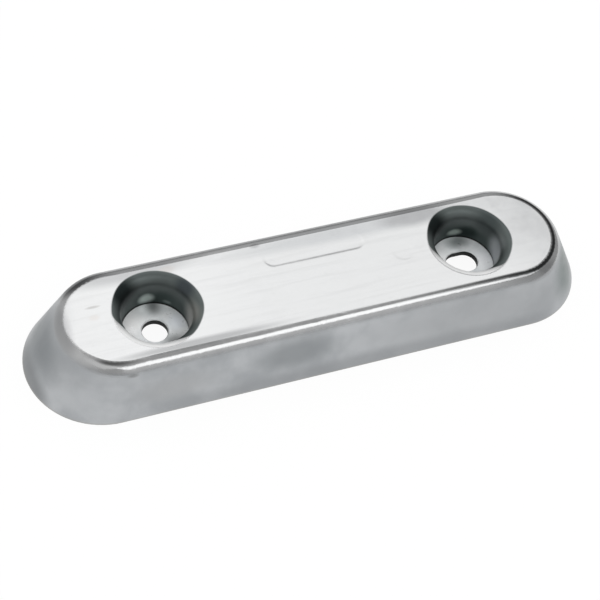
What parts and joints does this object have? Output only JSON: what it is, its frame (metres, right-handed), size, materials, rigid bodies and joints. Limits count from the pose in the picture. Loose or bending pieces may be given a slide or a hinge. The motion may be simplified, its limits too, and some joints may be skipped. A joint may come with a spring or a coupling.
{
  "type": "sacrificial anode",
  "caption": "Bolt-on hull anode: obround zinc bar with drafted sides and raked ends, cast round a flat steel strap that lies bare in round wells for its bolt holes.",
  "frame": {"origin": "middle of the flat face that lies on the hull", "axes": "+X along the bar towards the slotted hole, +Z away from the hull, out of the wells"},
  "size_m": [0.24, 0.0614, 0.026],
  "materials": {
    "zinc": "satin",
    "strap_steel": "satin"
  },
  "bodies": {
    "root": {"anode_casting": "zinc", "steel_insert": "strap_steel"}
  },
  "joints": []
}
